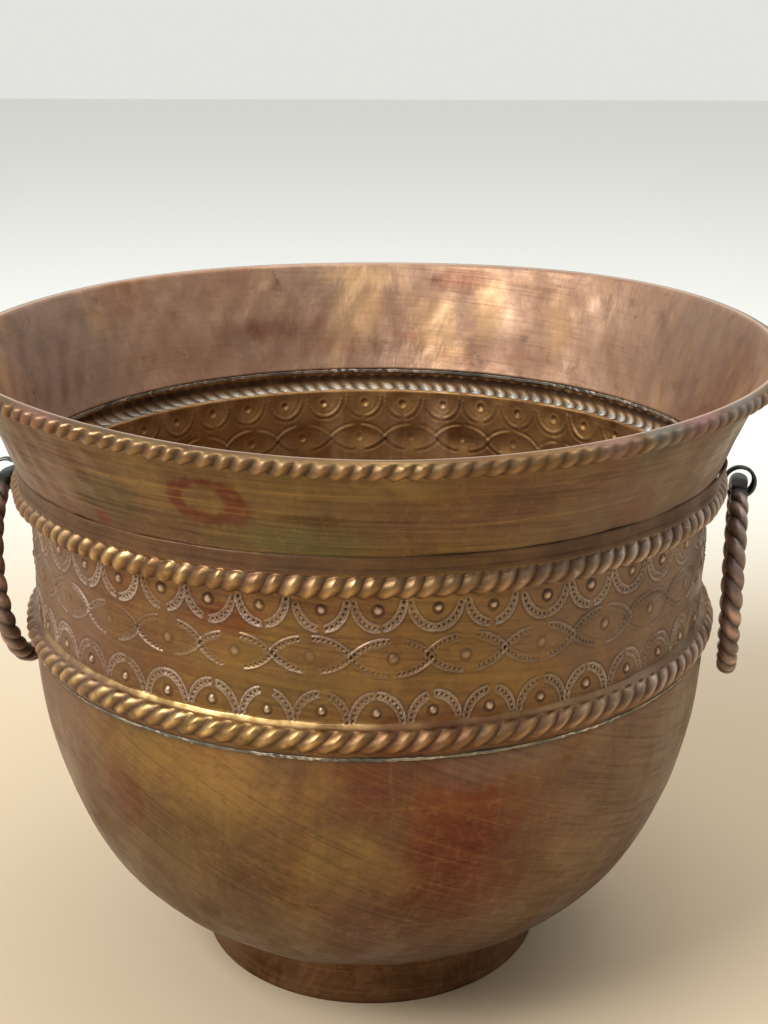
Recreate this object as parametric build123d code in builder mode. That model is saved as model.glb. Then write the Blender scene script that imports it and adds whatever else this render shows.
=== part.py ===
"""Brass planter pot: a wide sheet-metal pot on a foot ring, with two ring handles. Millimetres.

The pot stands on Z = 0 and its axis is the Z axis. The two handles stand on the X axis, at +X and -X.
Every wall is the same sheet, so each shell is the middle line of its wall, traced at the sheet's
thickness and turned about Z.
"""

import math
import os

from build123d import *

# Sheet metal and the small gaps between pieces that touch
sheet = 1.0
half_sheet = sheet / 2
touch_gap = 0.05

# Foot ring
foot_bottom_radius = 77.3
foot_top_radius = 74.6
foot_height = 22.4

# Bowl: a flat bottom, then a deep curve up to a nearly upright wall
bowl_bottom_height = 20.8
bowl_flat_radius = 66.0
bowl_top_radius = 146.2
bowl_top_height = 160.4

# Decorated band between its two rope beads
band_radius = 144.0
band_foot_height = 155.4
band_top_radius = 150.1
band_top_height = 232.6

lower_bead_centre = (145.0, 161.3)
lower_bead_radius = 4.5
upper_bead_centre = (147.4, 221.6)
upper_bead_radius = 3.5

# Flared neck and the roll of its rim
neck_foot = (147.5, 229.0)
neck_waist = (150.9, 237.4)
neck_middle = (155.0, 248.5)
neck_shoulder = (160.8, 262.0)
rim_centre = (170.4, 275.6)
rim_roll_radius = 2.8
rim_wire_radius = rim_roll_radius - half_sheet - touch_gap
rim_roll_start = 152.6
rim_roll_turn = 292.0

# Solder fillets along the three seams
solder_leg = 1.6

# Eyes: a strip bent into a loop, with both its ends through the wall and spread flat inside
eye_reach = 160.0
eye_height = 215.0
eye_loop_radius = 6.6
eye_strip_thickness = 1.5
eye_strip_width = 4.0
eye_tail_length = 7.0
eye_hole_clearance = 0.15

# Ring handles: a bar bent into a ring, its ends flattened and lapped inside the eye
ring_radius = 40.5
bar_radius = 4.2
lap_width = 7.6
lap_thickness = 6.0
lap_drop = 1.4
lap_corner = 1.4
lap_gap = 0.1
taper_start = 32.0
taper_end = 16.0
lap_end = 12.0

# How each ring hangs: turned about the upright axis, and leant towards the pot
right_turn = -10.0
right_lean = 0.0
left_turn = 0.0
left_lean = 6.0


def on_circle(centre, radius, degrees):
    """The point of a profile circle at an angle from the outward direction."""
    angle = math.radians(degrees)
    return (centre[0] + radius * math.cos(angle), centre[1] + radius * math.sin(angle))


# ---------------------------------------------------------------- bowl
with BuildPart() as bowl:
    with BuildSketch(Plane.XZ) as bowl_profile:
        with BuildLine() as bowl_line:
            bowl_floor = Line((0, bowl_bottom_height), (bowl_flat_radius, bowl_bottom_height))
            bowl_side = Spline(
                bowl_floor @ 1,
                (97.1, 34.0),
                (117.5, 53.8),
                (133.0, 81.5),
                (142.8, 116.2),
                (bowl_top_radius, bowl_top_height),
                tangents=((1, 0.22), (0, 1)),
            )
        trace(line_width=sheet)
        with Locations((-half_sheet, bowl_bottom_height)):
            Rectangle(sheet, 2 * sheet, mode=Mode.SUBTRACT)
    revolve(axis=Axis.Z)
bowl.part.label = "bowl"

# ---------------------------------------------------------------- foot ring
with BuildPart() as foot_ring:
    with BuildSketch(Plane.XZ) as foot_profile:
        with BuildLine() as foot_line:
            Spline(
                (foot_bottom_radius - half_sheet, 0),
                (foot_top_radius + 0.3, 0.6 * foot_height),
                (foot_top_radius - half_sheet, foot_height),
            )
        trace(line_width=sheet)
        with Locations((foot_bottom_radius, -sheet)):
            Rectangle(6 * sheet, 2 * sheet, mode=Mode.SUBTRACT)
    revolve(axis=Axis.Z)
    add(bowl.part, mode=Mode.SUBTRACT)
foot_ring.part.label = "foot_ring"

# ---------------------------------------------------------------- decorated band with its two rope beads
with BuildPart() as decorated_band:
    with BuildSketch(Plane.XZ) as band_profile:
        with BuildLine() as band_line:
            skirt_radius = bowl_top_radius + sheet + touch_gap
            lower_bead = CenterArc(lower_bead_centre, lower_bead_radius, -59, 134)
            Line((skirt_radius, band_foot_height), lower_bead @ 0)
            band_wall_foot = (band_radius, lower_bead_centre[1] + 1.35 * lower_bead_radius)
            Line(lower_bead @ 1, band_wall_foot)
            upper_bead = CenterArc(upper_bead_centre, upper_bead_radius, -120, 180)
            band_wall_top = (band_radius, upper_bead_centre[1] - 1.1 * upper_bead_radius)
            Line(band_wall_foot, band_wall_top)
            Line(band_wall_top, upper_bead @ 0)
            Line(upper_bead @ 1, (band_top_radius, band_top_height))
        trace(line_width=sheet)
    revolve(axis=Axis.Z)
    with BuildSketch(Plane.YZ.offset(-eye_reach)) as eye_holes:
        with Locations((0, eye_height)):
            Rectangle(
                eye_strip_width + 2 * eye_hole_clearance,
                2 * eye_strip_thickness + lap_gap + 2 * eye_hole_clearance,
            )
    extrude(amount=2 * eye_reach, mode=Mode.SUBTRACT)
decorated_band.part.label = "decorated_band"

# ---------------------------------------------------------------- flared neck with its rolled rim
with BuildPart() as flared_neck:
    with BuildSketch(Plane.XZ) as neck_profile:
        with BuildLine() as neck_line:
            rim_roll = CenterArc(rim_centre, rim_roll_radius, rim_roll_start, -rim_roll_turn)
            Spline(
                neck_foot,
                neck_waist,
                neck_middle,
                neck_shoulder,
                on_circle(rim_centre, rim_roll_radius, rim_roll_start),
            )
        trace(line_width=sheet)
    revolve(axis=Axis.Z)
flared_neck.part.label = "flared_neck"

# ---------------------------------------------------------------- wire inside the rolled rim
with BuildPart() as rim_wire:
    with BuildSketch(Plane.XZ) as wire_profile:
        with Locations(rim_centre):
            Circle(rim_wire_radius)
    revolve(axis=Axis.Z)
rim_wire.part.label = "rim_wire"

# ---------------------------------------------------------------- solder fillets that seal the seams
with BuildPart() as lower_seam_solder:
    with BuildSketch(Plane.XZ) as lower_seam_profile:
        with BuildLine():
            seam_radius = bowl_top_radius + half_sheet + touch_gap
            Polyline(
                (seam_radius, band_foot_height - touch_gap),
                (seam_radius + 0.6 * solder_leg, band_foot_height - touch_gap),
                (seam_radius, band_foot_height - solder_leg),
                close=True,
            )
        make_face()
    revolve(axis=Axis.Z)
lower_seam_solder.part.label = "lower_seam_solder"

with BuildPart() as neck_seam_solder:
    with BuildSketch(Plane.XZ) as neck_seam_profile:
        with BuildLine():
            lap_radius = neck_foot[0]
            lap_height = neck_foot[1] - half_sheet
            Polyline(
                (lap_radius - half_sheet, lap_height),
                (lap_radius + half_sheet, lap_height - touch_gap),
                (lap_radius + 0.4 * half_sheet, lap_height - solder_leg),
                close=True,
            )
        make_face()
    revolve(axis=Axis.Z)
neck_seam_solder.part.label = "neck_seam_solder"

with BuildPart() as foot_seam_solder:
    with BuildSketch(Plane.XZ) as foot_seam_profile:
        with BuildLine():
            corner_radius = foot_top_radius - sheet - touch_gap
            corner_height = foot_height - 2 * half_sheet
            Polyline(
                (corner_radius, corner_height),
                (corner_radius - solder_leg, corner_height - touch_gap),
                (corner_radius, corner_height - solder_leg),
                close=True,
            )
        make_face()
    revolve(axis=Axis.Z)
    add(bowl.part, mode=Mode.SUBTRACT)
    add(foot_ring.part, mode=Mode.SUBTRACT)
foot_seam_solder.part.label = "foot_seam_solder"


# ---------------------------------------------------------------- eyes
def strip_eye(side):
    """One eye, at +X for side 1 and at -X for side -1: a loop with two tails spread inside the wall."""
    strip_offset = (eye_strip_thickness + lap_gap) / 2
    wall_inside = band_radius - half_sheet - touch_gap - eye_strip_thickness / 2
    tail_top = eye_height + strip_offset + eye_tail_length
    tail_bottom = eye_height - strip_offset - eye_tail_length
    opening = math.degrees(math.asin(strip_offset / eye_loop_radius))
    with BuildPart() as eye:
        with BuildSketch(Plane.XZ):
            with BuildLine():
                loop_centre = (side * eye_reach, eye_height)
                start = 180 - opening if side > 0 else opening
                loop = CenterArc(loop_centre, eye_loop_radius, start, side * (2 * opening - 360))
                Polyline(
                    (side * wall_inside, tail_top),
                    (side * wall_inside, eye_height + strip_offset),
                    loop @ 0,
                )
                Polyline(
                    loop @ 1,
                    (side * wall_inside, eye_height - strip_offset),
                    (side * wall_inside, tail_bottom),
                )
            trace(line_width=eye_strip_thickness)
        extrude(amount=eye_strip_width / 2, both=True)
    return eye.part


handle_eye_right = strip_eye(1)
handle_eye_right.label = "handle_eye_right"
handle_eye_left = strip_eye(-1)
handle_eye_left.label = "handle_eye_left"


# ---------------------------------------------------------------- ring handles
def ring_handle(frame):
    """A bar bent into a ring below `frame`, whose origin is the eye's centre and whose Z is square to the ring."""
    centre_drop = lap_drop + ring_radius

    def across(degrees):
        """The plane that cuts the bar square, at an angle round the ring from its top."""
        ring_centre = frame.location * Location((0, -centre_drop, 0), (0, 0, degrees))
        return Plane(ring_centre * Location((0, ring_radius, 0), (0, 90, 0)))

    ring_axis = Axis((frame * Pos(0, -centre_drop, 0)).position, frame.z_dir)
    with BuildPart() as ring:
        with BuildSketch(across(taper_start)):
            Circle(bar_radius)
        revolve(axis=ring_axis, revolution_arc=360 - 2 * taper_start)
        for end, start in ((taper_end, taper_start), (-taper_end, -taper_start)):
            with BuildSketch(across(end)):
                RectangleRounded(lap_width, lap_thickness, lap_corner)
            with BuildSketch(across(start)):
                Circle(bar_radius)
            loft()
        with BuildSketch(across(-taper_end)):
            RectangleRounded(lap_width, lap_thickness, lap_corner)
        revolve(axis=ring_axis, revolution_arc=2 * taper_end)
        with BuildSketch(across(-lap_end)):
            Rectangle(lap_width, lap_gap)
        revolve(axis=ring_axis, revolution_arc=2 * lap_end, mode=Mode.SUBTRACT)
        for end, half in ((lap_end, 1), (-lap_end, -1)):
            with BuildSketch(across(end)):
                with Locations((0, half * lap_thickness / 4)):
                    Rectangle(lap_width, lap_thickness / 2 + lap_gap)
            extrude(amount=lap_gap / 2, both=True, mode=Mode.SUBTRACT)
    return ring.part


right_eye = Plane((eye_reach, 0, eye_height), x_dir=(0, 1, 0), z_dir=(1, 0, 0))
handle_right = ring_handle(right_eye.rotated((0, right_lean, right_turn)))
handle_right.label = "handle_right"
left_eye = Plane((-eye_reach, 0, eye_height), x_dir=(0, -1, 0), z_dir=(-1, 0, 0))
handle_left = ring_handle(left_eye.rotated((0, -left_lean, left_turn)))
handle_left.label = "handle_left"

# ---------------------------------------------------------------- STEP files, one for each piece
os.makedirs("parts", exist_ok=True)
for block in (
    bowl,
    foot_ring,
    decorated_band,
    flared_neck,
    rim_wire,
    lower_seam_solder,
    neck_seam_solder,
    foot_seam_solder,
):
    export_step(block.part, f"parts/{block.part.label}.step")
for piece in (handle_eye_right, handle_eye_left, handle_right, handle_left):
    export_step(piece, f"parts/{piece.label}.step")
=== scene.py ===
import math
from collections import namedtuple
import bpy
import numpy as np
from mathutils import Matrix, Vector


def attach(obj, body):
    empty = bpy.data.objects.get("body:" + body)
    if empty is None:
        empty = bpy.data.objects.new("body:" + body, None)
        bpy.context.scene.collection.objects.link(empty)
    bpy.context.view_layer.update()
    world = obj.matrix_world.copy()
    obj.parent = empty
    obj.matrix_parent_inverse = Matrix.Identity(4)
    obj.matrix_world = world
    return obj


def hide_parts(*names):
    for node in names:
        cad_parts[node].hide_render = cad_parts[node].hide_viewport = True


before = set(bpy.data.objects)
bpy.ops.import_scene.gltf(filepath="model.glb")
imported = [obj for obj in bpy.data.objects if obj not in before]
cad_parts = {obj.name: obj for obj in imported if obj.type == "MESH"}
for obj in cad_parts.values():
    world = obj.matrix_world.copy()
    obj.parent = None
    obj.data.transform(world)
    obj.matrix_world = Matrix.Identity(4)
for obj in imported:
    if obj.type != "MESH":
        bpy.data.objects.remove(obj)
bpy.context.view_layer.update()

# The shapes are worked out in millimetres and written in metres.
MM = 0.001
TURN = 2 * math.pi
SHEET = 1.0

# Places in a section are (radius, height).
# Band: a stamped wall between two rope beads, its skirt over the bowl and its strip over the neck
SCALLOPS = 44
ALMONDS = 32
BAND_COLUMNS = 66 * SCALLOPS
WALL_RADIUS = 144.5
WALL_MIDDLE = WALL_RADIUS - SHEET / 2
WALL_FOOT = 167.4
WALL_TOP = 217.75
SKIRT_FOOT = (147.25, 155.4)
STRIP_TOP = (150.1, 232.6)
BeadRope = namedtuple("BeadRope", "centre radius low high lobes lean depth proud seed")
LOWER_ROPE = BeadRope((145.0, 161.3), 4.5, -62, 66, lobes=119, lean=0.50, depth=1.5, proud=0.50, seed=11)
UPPER_ROPE = BeadRope((147.4, 221.6), 4.1, -128, 80, lobes=138, lean=0.48, depth=1.45, proud=0.55, seed=12)

# Rim: the neck's edge rolled over a wire, with rope lobes on the roll
ROLL_CENTRE = (170.4, 275.6)
ROLL_RADIUS = 2.8
WIRE_RADIUS = 2.2
RIM_LOBES = 169
NECK_COLUMNS = 13 * RIM_LOBES
BOWL_COLUMNS = 720
FOOT_COLUMNS = 360

# Handles: where each eye is, and the ring that hangs in it
EYE_REACH = 160.0
EYE_HEIGHT = 215.0
RING_RADIUS = 40.5
RING_DROP = 1.4
BAR_RADIUS = 4.2

# What the four channels of a piece's marks say: chalk with painted highlights, grime with painted shade, wear
# with painted highlights, and pale places
CHALK_AND_HIGHLIGHT, GRIME_AND_SHADE, WEAR_AND_HIGHLIGHT, PALE = range(4)

# How far the rim is bent out of its plane, as waves round the pot: (waves, cosine part, sine part)
RIM_BEND = ((1, -0.53, 3.03), (2, 1.11, 1.06), (3, 0.24, -0.49), (4, -0.62, 0.17))
RIM_BEND_TURN = math.radians(2.9)
RIM_BEND_FOOT = 236.0
RIM_BEND_TOP = 274.0

# Aged metal, as the colour each one reflects, and the tones of painted highlights and shade on it
OLIVE = (0.188, 0.124, 0.056)
TAN = (0.240, 0.144, 0.056)
RUSSET = (0.200, 0.106, 0.060)
DARK_RUSSET = (0.100, 0.046, 0.020)
GOLD = (0.44, 0.275, 0.090)
BROWN = (0.158, 0.086, 0.058)
COPPER = (0.178, 0.058, 0.032)
ROSE = (0.50, 0.34, 0.26)
UMBER = (0.075, 0.036, 0.018)
SOOT = (0.026, 0.024, 0.021)
VERDIGRIS = (0.055, 0.075, 0.055)
CHALK = (0.82, 0.72, 0.63)
# painted teal-white highlight on the lower part of the inner rope lobes
INNER_HIGHLIGHT = (0.84, 0.94, 0.90)
RUBBED = (0.44, 0.26, 0.13)
MAUVE = (0.215, 0.150, 0.125)
DUSKY = (0.30, 0.20, 0.155)
PALE_COPPER = (0.70, 0.53, 0.42)
# the tone of the painted shade at the bottom of the bowl
BOTTOM_SHADE = (0.090, 0.034, 0.014)
RED_STAIN = (0.145, 0.040, 0.026)
SAFFRON = (0.82, 0.56, 0.24)
# painted golden highlight inside the pot
GOLDEN_HIGHLIGHT = (0.56, 0.35, 0.18)
MOSS = (0.135, 0.125, 0.062)
# painted pale grey highlight on rubbed crests at the right
GREY_HIGHLIGHT = (0.58, 0.46, 0.38)
PEWTER = (0.24, 0.22, 0.20)
GREY_GREEN = (0.19, 0.19, 0.165)
DULL_PINK = (0.34, 0.18, 0.165)
DULL_ROSE = (0.30, 0.17, 0.15)
SALMON = (0.36, 0.19, 0.145)
IRON_BROWN = (0.19, 0.140, 0.125)
IRON_PALE = (0.39, 0.28, 0.24)
IRON_RUBBED = (0.62, 0.42, 0.35)
IRON_GRIME = (0.035, 0.022, 0.018)

# The inside of each piece: its light tone, its deep tone and its warm patches
ROSY = ((0.43, 0.268, 0.178), (0.33, 0.187, 0.120), (0.40, 0.165, 0.085))
AMBERY = ((0.38, 0.215, 0.080), (0.25, 0.125, 0.046), (0.34, 0.135, 0.05))

# A tint, for stains and for patches of painted light: its place and reach in metres, tone, strength, squeeze
# along each axis, and radius if it is a ring
ROUND = (1, 1, 1)
TALL = (1.25, 1, 0.8)
LEVEL = (0.6, 1, 2.0)
DROP = (1.5, 1, 0.7)
WIDE_DROP = (1.3, 1, 0.7)
Tint = namedtuple("Tint", "place reach tone strength shape ring", defaults=(ROUND, 0))


def tints_of(*rows):
    return [Tint(*row) for row in rows]


# ---- lines and sections
def smooth(x, low, high):
    """0 below low, 1 above high, and an even slope between them."""
    t = np.clip((np.asarray(x, float) - low) / (high - low), 0, 1)
    return t * t * (3 - 2 * t)


def bump_at(x, centre, width):
    """1 at the centre, falling to 0 on both sides."""
    return np.exp(-(((x - centre) / width) ** 2))


def raise_to(field, where, value):
    field[where] = np.maximum(field[where], value)


def line(start, end, step):
    count = max(2, int(round(math.dist(start, end) / step)) + 1)
    return np.linspace(start, end, count)


def arc(centre, radius, start, turn, step):
    count = max(3, int(round(abs(math.radians(turn)) * radius / step)) + 1)
    angle = np.radians(np.linspace(start, start + turn, count))
    return np.stack([centre[0] + radius * np.cos(angle), centre[1] + radius * np.sin(angle)], 1)


def curve(points, step, first=None, last=None):
    """A smooth line through points, with the directions of its ends if need be."""
    points = np.asarray(points, float)
    gaps = np.linalg.norm(np.diff(points, axis=0), axis=1)
    at = np.concatenate([[0], np.cumsum(gaps)])
    slopes = np.gradient(points, at, axis=0, edge_order=2)
    for index, direction in ((0, first), (-1, last)):
        if direction is not None:
            slopes[index] = np.asarray(direction) / np.linalg.norm(direction)
    parts = []
    for i, gap in enumerate(gaps):
        t = np.linspace(0, 1, max(2, int(round(gap / step)) + 1))[:, None]
        ends = (2 * t**3 - 3 * t**2 + 1) * points[i] + (3 * t**2 - 2 * t**3) * points[i + 1]
        sides = (t**3 - 2 * t**2 + t) * slopes[i] + (t**3 - t**2) * slopes[i + 1]
        parts.append(ends + gap * sides)
    return join(*parts)


def join(*parts):
    """Lines end to end, without the doubled points."""
    out = [parts[0]]
    for part in parts[1:]:
        out.append(part[1:] if math.dist(out[-1][-1], part[0]) < 1e-6 else part)
    return np.concatenate(out)


def ease(points, passes):
    """Takes the sharp corners off a line, leaving its ends."""
    points = points.copy()
    for _ in range(passes):
        points[1:-1] = 0.25 * points[:-2] + 0.5 * points[1:-1] + 0.25 * points[2:]
    return points


def directions(middle):
    """The ways along a line and square to it, at each of its points."""
    step = np.gradient(middle, axis=0)
    step /= np.linalg.norm(step, axis=1)[:, None]
    return step, np.stack([step[:, 1], -step[:, 0]], 1)


def all_round(columns):
    return np.linspace(0, TURN, columns, endpoint=False)[None, :]


def degrees_from(theta, heading):
    """Degrees round the pot from a heading, either way."""
    return np.abs((np.degrees(theta) - heading + 180) % 360 - 180)


def turned_about_z(radius, height, theta):
    return np.stack([radius * np.cos(theta), radius * np.sin(theta), height], -1).reshape(-1, 3)


def from_centre(middle, centre):
    """The angle in degrees of a section's points about a centre, and their distance from it."""
    r, z = middle[:, 0:1] - centre[0], middle[:, 1:2] - centre[1]
    return np.degrees(np.arctan2(z, r)), np.hypot(z, r)


def cap_faces(columns, rows, poles):
    """Triangles that close both ends of a net, each round its pole."""
    here = np.arange(columns)
    ahead = (here + 1) % columns
    last = (rows - 1) * columns
    low = np.stack([np.full(columns, poles), ahead, here], 1)
    high = np.stack([np.full(columns, poles + 1), last + here, last + ahead], 1)
    return np.concatenate([low, high])


def faces_between(columns, rows, closed):
    """Quads of a net of rows, whose columns go all the way round."""
    first = np.arange(rows if closed else rows - 1)[:, None]
    second = (first + 1) % rows
    here = np.arange(columns)[None, :]
    ahead = (here + 1) % columns
    corners = [first * columns + here, first * columns + ahead, second * columns + ahead]
    return np.stack(corners + [second * columns + here], -1).reshape(-1, 4)


def signed_volume(points, faces):
    """The faces' share of a mesh's volume, negative when they face inwards."""
    corners = np.asarray(points, float)[faces]
    fan = (np.cross(corners[:, i], corners[:, i + 1]) for i in range(1, faces.shape[1] - 1))
    return sum((corners[:, 0] * normal).sum() for normal in fan) / 6


def in_scene(name, data):
    obj = bpy.data.objects.new(name, data)
    bpy.context.scene.collection.objects.link(obj)
    return obj


def mesh_object(name, points, quads, caps=None, marks=None, inner=None):
    """A closed smooth mesh from points in millimetres, with its marks as a vertex colour."""
    caps = np.zeros((0, 3), int) if caps is None else caps
    if signed_volume(points, quads) + signed_volume(points, caps) < 0:
        quads, caps = quads[:, ::-1], caps[:, ::-1]
    mesh = bpy.data.meshes.new(name)
    mesh.vertices.add(len(points))
    mesh.vertices.foreach_set("co", (np.asarray(points) * MM).astype(np.float32).ravel())
    starts = np.concatenate([np.arange(len(quads)) * 4, quads.size + np.arange(len(caps)) * 3])
    loops = np.concatenate([quads.ravel(), caps.ravel()])
    mesh.loops.add(len(loops))
    mesh.loops.foreach_set("vertex_index", loops.astype(np.int32))
    mesh.polygons.add(len(starts))
    mesh.polygons.foreach_set("loop_start", starts.astype(np.int32))
    mesh.update(calc_edges=True)
    mesh.polygons.foreach_set("use_smooth", np.ones(len(starts), bool))
    if marks is not None:
        layer = mesh.color_attributes.new("marks", "FLOAT_COLOR", "POINT")
        layer.data.foreach_set("color", np.clip(marks, 0, 1).astype(np.float32).ravel())
    if inner is not None:
        layer = mesh.attributes.new("inner", "FLOAT", "POINT")
        layer.data.foreach_set("value", inner.astype(np.float32))
    return in_scene(name, mesh)


def stand_for(obj, body, node, material):
    """The piece rides on its body, in place of a CAD node."""
    obj.data.materials.append(material)
    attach(obj, body)
    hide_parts(node)


def waves(theta, along, around, up, size, seed):
    """Unevenness of hand-worked sheet: waves that close up round the pot."""
    rng = np.random.default_rng(seed)
    total = np.zeros(np.broadcast(theta, along).shape)
    count = 14
    for _ in range(count):
        turns = rng.integers(around[0], around[1] + 1)
        pitch = rng.uniform(up[0], up[1])
        total += np.cos(turns * theta + TURN * along / pitch * rng.choice([-1, 1]) + rng.uniform(0, TURN))
    return total * size / math.sqrt(count / 2)


def shell(name, middle, columns, relief, bent=False, round_floor=False):
    """
    A sheet turned about Z. relief(side, along, theta, middle) gives how far its outer (1) or inner (-1) face
    stands out, and the marks. A round floor reaches the axis. A bent sheet has the bent rim.
    """
    theta = all_round(columns)
    step, outward = directions(middle)
    along = np.concatenate([[0], np.cumsum(np.linalg.norm(np.diff(middle, axis=0), axis=1))])
    sides = []
    for side in (1, -1):
        lift, marks = relief(side, along[:, None], theta, middle)
        place = middle[:, None, :] + outward[:, None, :] * (side * SHEET / 2 + lift)[..., None]
        sides.append((place, marks))
    (out, out_marks), (inside, inside_marks) = sides
    inside, inside_marks = inside[::-1], inside_marks[::-1]
    top = (out[-1:] + inside[:1]) / 2 + step[-1] * SHEET / 2
    net = [out, top, inside]
    marks = [out_marks, out_marks[-1:], inside_marks]
    if round_floor:
        net[0], net[2] = out[1:], inside[:-1]
        marks[0], marks[2] = out_marks[1:], inside_marks[:-1]
    else:
        net.append((inside[-1:] + out[:1]) / 2 - step[0] * SHEET / 2)
        marks.append(out_marks[:1])
    inner = np.concatenate([np.full(part.shape[:2], float(i == 2)) for i, part in enumerate(net)]).ravel()
    net, marks = np.concatenate(net), np.concatenate(marks).reshape(-1, 4)
    radius, height = net[..., 0], net[..., 1]
    # the rolled rim has the colour of the outside
    inner = inner * (1 - smooth(radius, ROLL_CENTRE[0] - 1.4, ROLL_CENTRE[0] + 0.8).ravel())
    if bent:
        height = height + rim_bend(theta, height)
    points = turned_about_z(radius, height, theta)
    caps = None
    if round_floor:
        caps = cap_faces(columns, len(net), len(points))
        poles = np.array([[0, 0, out[0, :, 1].mean()], [0, 0, inside[-1, :, 1].mean()]])
        points = np.concatenate([points, poles])
        marks = np.concatenate([marks, np.zeros((2, 4))])
        inner = np.concatenate([inner, [0, 1]])
    return mesh_object(name, points, faces_between(columns, len(net), not round_floor), caps, marks, inner)


def rim_bend(theta, height):
    """How far the bent rim lies above its plane."""
    a = theta - RIM_BEND_TURN
    bend = sum(c * np.cos(n * a) + s * np.sin(n * a) for n, c, s in RIM_BEND)
    return bend * smooth(height, RIM_BEND_FOOT, RIM_BEND_TOP)


# ---- ropes
def rope(theta, across, lobes, lean, seed):
    """Lobes across a bead (-1 to 1): their height, how they fade at its edges and how hard each is struck."""
    rng = np.random.default_rng(seed)
    drift = sum(0.022 * np.sin(n * theta + rng.uniform(0, TURN)) for n in rng.integers(3, 60, 6))
    phase = lobes * theta / TURN - lean * (across + 0.10 * np.sin(math.pi * across)) + drift
    to_groove = np.abs(phase - np.round(phase)) * 2
    lobe = 0.55 * to_groove + 0.45 * np.sin(math.pi / 2 * to_groove)
    index = np.round(phase - 0.5).astype(int) % lobes
    strike = rng.uniform(0.7, 1.0, lobes)[index]
    edge = np.clip(1 - np.abs(across) ** 7, 0, 1) ** 0.8
    return lobe, edge, strike


# ---- stamped pattern of the band
PUNCH_HALF = 1.30
PIT_PITCH = 1.90


class Canvas:
    """The stamped wall laid flat: how high it stands, its chalk, its dark marks with the painted shade beside
    the rails, and its pale bosses.
    """

    def __init__(self, heights, columns):
        self.z = heights
        self.columns = columns
        self.du = TURN * WALL_RADIUS / columns
        self.lift, self.chalk, self.dark, self.pale = np.zeros((4, len(heights), columns))

    def window(self, u, z, reach):
        """The patch of wall about a point, and the distances from it."""
        rows = np.nonzero(np.abs(self.z - z) < reach)[0]
        low = int(math.floor((u - reach) / self.du))
        columns = np.arange(low, int(math.ceil((u + reach) / self.du)) + 1)
        patch = np.ix_(rows, columns % self.columns)
        return patch, (columns * self.du - u)[None, :], (self.z[rows] - z)[:, None]

    def ladder(self, u, z, radius, start, turn, force, rails, chalk, rng, tall=1.0, darkness=0.95):
        """A curved punch mark, struck unevenly: two rails of the heights given, and a row of pits between."""
        patch, du, dz = self.window(u, z, (radius + 3.0) * max(tall, 1))
        dz = dz / tall
        away = np.hypot(du, dz) - radius
        swept = (np.arctan2(dz, du) - math.radians(start)) * math.copysign(1, turn)
        swept = (swept + math.pi / 2) % TURN - math.pi / 2
        length = math.radians(abs(turn)) * radius
        gone = swept * radius
        share = gone / length
        inside = smooth(share, -0.02, 0.05) * (1 - smooth(share, 0.95, 1.02))
        lean = rng.uniform(-0.35, 0.35)
        fade = np.clip(force + lean * (share - 0.5), 0, 1) * inside
        # the punch is narrower at its ends
        half = PUNCH_HALF * (0.62 + 0.38 * np.sqrt(np.clip(np.sin(math.pi * np.clip(share, 0, 1)), 0, 1)))
        trough = 1 - smooth(np.abs(away) / half, 0.65, 1.1)
        row = gone % PIT_PITCH - PIT_PITCH / 2
        spot = np.hypot(row, away)
        pits = 1 - smooth(spot, 0.26, 0.56)
        lips = bump_at(spot, 0.76, 0.22) * trough
        outer, inner = rails
        rail = outer * bump_at(away, half, 0.28) + inner * bump_at(away, -half, 0.26)
        # shade: a dark outline just outside each rail, which is painted shade over a shallow dip
        shade = bump_at(away, half + 0.72, 0.40) + 0.7 * bump_at(away, -half - 0.70, 0.36)
        self.lift[patch] += fade * (0.42 * rail + 0.16 * lips - 0.18 * trough - 0.55 * pits - 0.16 * shade)
        speck = np.sin(gone * 5.1 + rng.uniform(0, TURN)) * np.sin(away * 6 + rng.uniform(0, TURN))
        speck = 0.62 + 0.38 * speck
        pale = np.maximum(0.8 * lips, 1.1 * rail) * (1 - pits)
        # the dark marks: pits and trough, and the painted shade of the outline
        low = np.maximum(np.maximum(pits, 0.6 * shade), 0.25 * trough)
        raise_to(self.chalk, patch, fade * chalk * pale * speck)
        raise_to(self.dark, patch, darkness * fade * low)

    def boss(self, u, z, radius, force, pale):
        """A round boss inside a ring groove."""
        patch, du, dz = self.window(u, z, radius + 2.5)
        away = np.hypot(du, dz * 0.92)
        dome = 1 - smooth(away, 0.45 * radius, radius)
        crown = 1 - smooth(away, 0.35 * radius, 0.95 * radius)
        ring = bump_at(away, radius + 0.40, 0.42)
        self.lift[patch] += force * (0.55 * dome - 0.38 * ring)
        raise_to(self.pale, patch, pale * crown)
        raise_to(self.dark, patch, 0.95 * force * ring)

    def swell(self, u, z, reach, height):
        """The sheet pushed out a little inside a field."""
        patch, du, dz = self.window(u, z, 2 * reach)
        self.lift[patch] += height * np.exp(-(np.hypot(du, dz) / reach) ** 2)


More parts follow.
